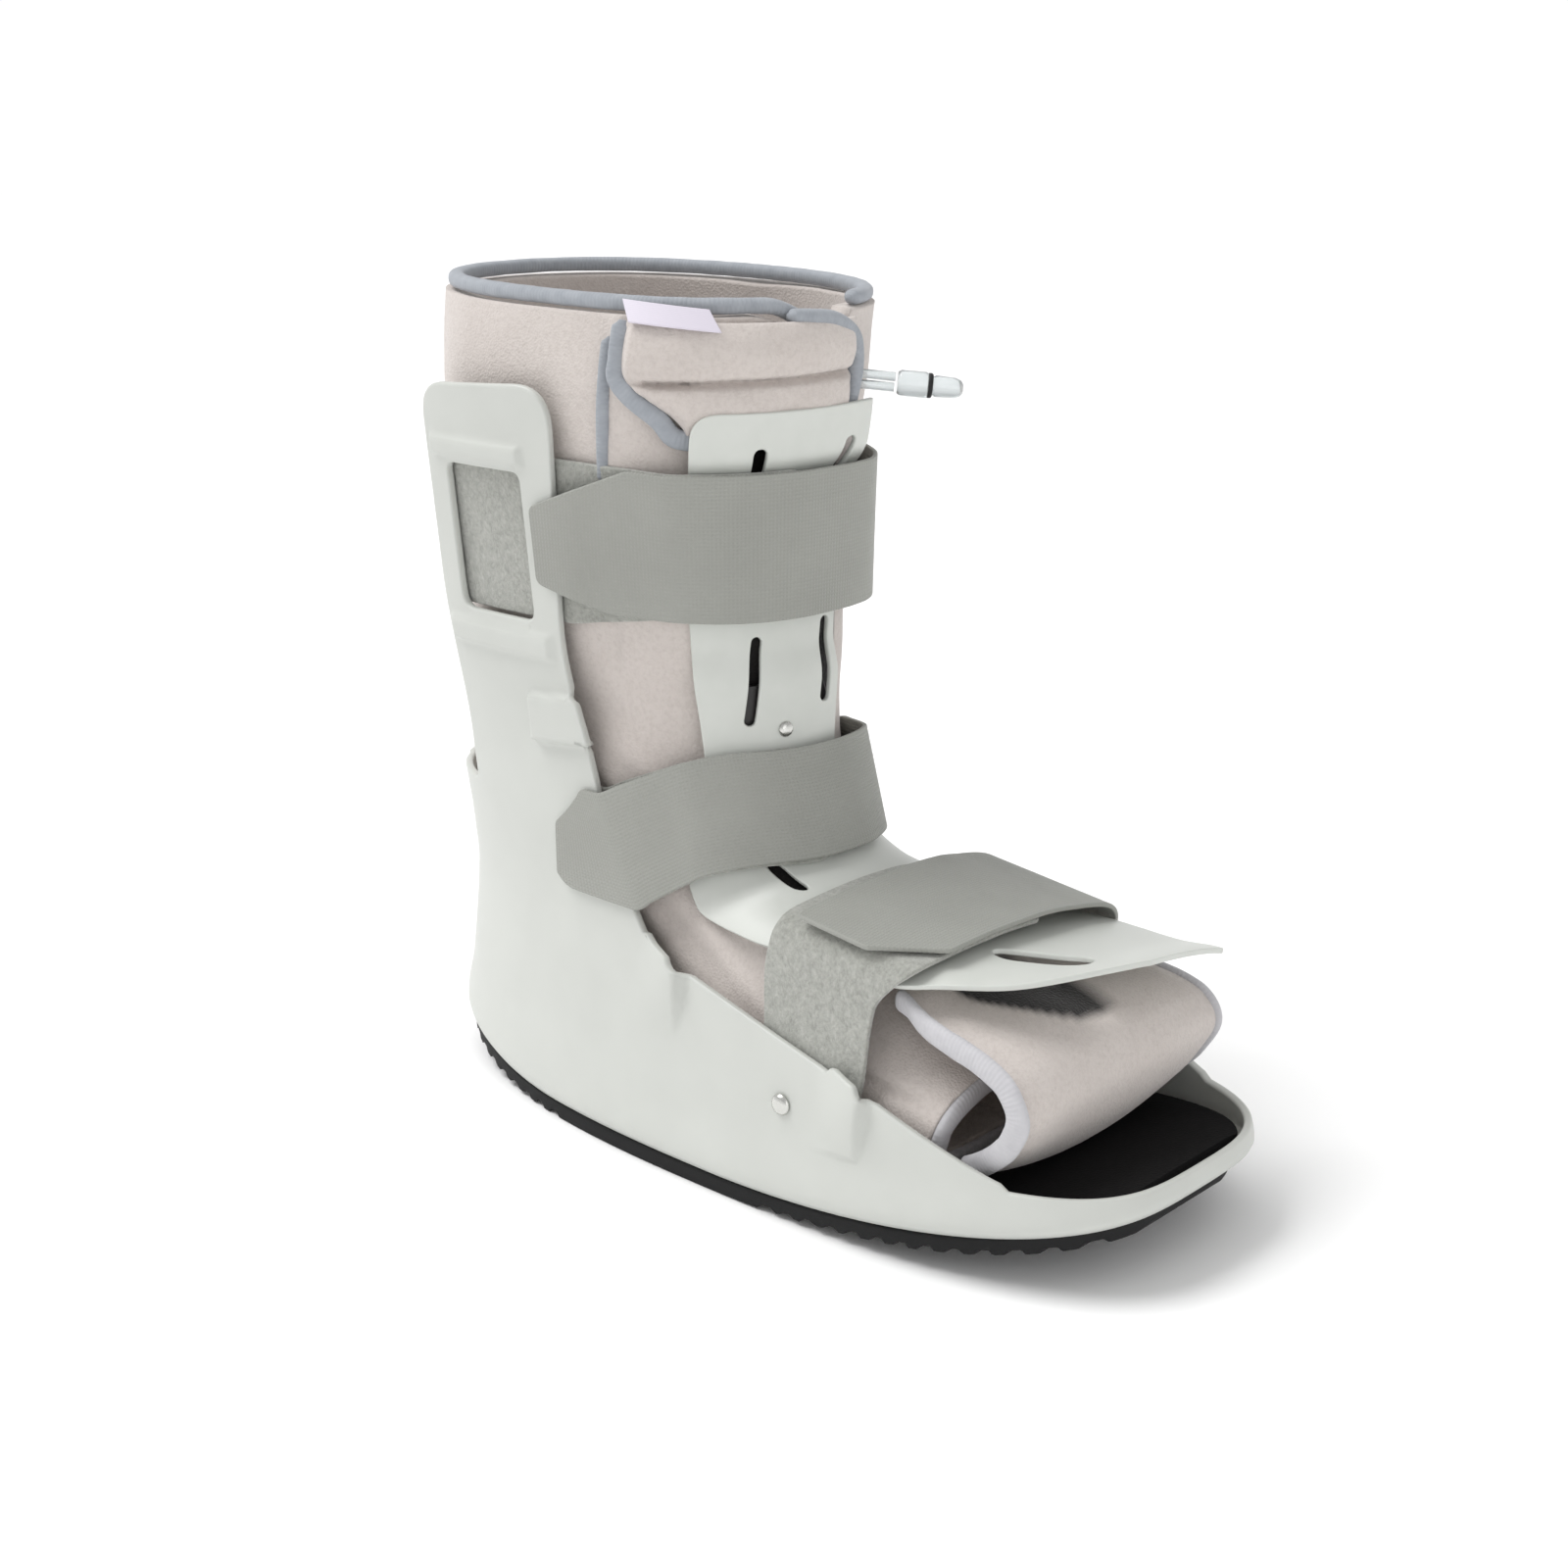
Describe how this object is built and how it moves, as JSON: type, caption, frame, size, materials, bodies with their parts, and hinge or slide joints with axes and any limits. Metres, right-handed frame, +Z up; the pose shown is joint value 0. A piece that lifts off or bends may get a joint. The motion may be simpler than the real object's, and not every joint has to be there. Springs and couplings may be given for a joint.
{
  "type": "walking boot",
  "caption": "Short rigid walking boot with a rocker sole, side struts, a padded open-toe liner, two front plates and wide hook-and-loop straps.",
  "frame": {"origin": "on the flat middle of the sole, midway between the boot's sides, at the ground", "axes": "+X to the toes, +Z up, -Y to the side where the strap tabs end"},
  "size_m": [0.302, 0.1306, 0.2735],
  "materials": {
    "rubber": "moulded tread",
    "foam": "fine matte foam sheet",
    "shell_plastic": "injection moulded, fine grain",
    "plate_plastic": "smooth sheet",
    "liner_fabric": "brushed knit over foam",
    "binding_tape": "ribbed bias tape",
    "label_fabric": "satin",
    "rivet_metal": "polished",
    "smooth_strap": "woven hook tape",
    "loop_felt": "loop felt",
    "clear_plastic": "clear"
  },
  "bodies": {
    "root": {"outsole": "rubber", "insole": "foam", "shell": "shell_plastic", "liner_boot": "liner_fabric", "toe_flap": "liner_fabric", "front_flap": "liner_fabric", "collar_binding": "binding_tape", "toe_opening_binding": "binding_tape", "flap_binding": "binding_tape", "edge_binding": "binding_tape", "toe_binding_near": "binding_tape", "toe_binding_far": "binding_tape", "label": "label_fabric", "shin_plate": "plate_plastic", "foot_plate": "plate_plastic", "plate_rivet": "rivet_metal", "wall_rivet_near": "rivet_metal", "wall_rivet_far": "rivet_metal", "calf_strap": "smooth_strap", "ankle_strap": "smooth_strap", "forefoot_strap": "smooth_strap", "calf_loop_strap": "loop_felt", "ankle_loop_strap": "loop_felt", "forefoot_loop_strap": "loop_felt", "air_tube_upper": "clear_plastic", "air_tube_lower": "clear_plastic", "air_valve": "clear_plastic"}
  },
  "joints": []
}
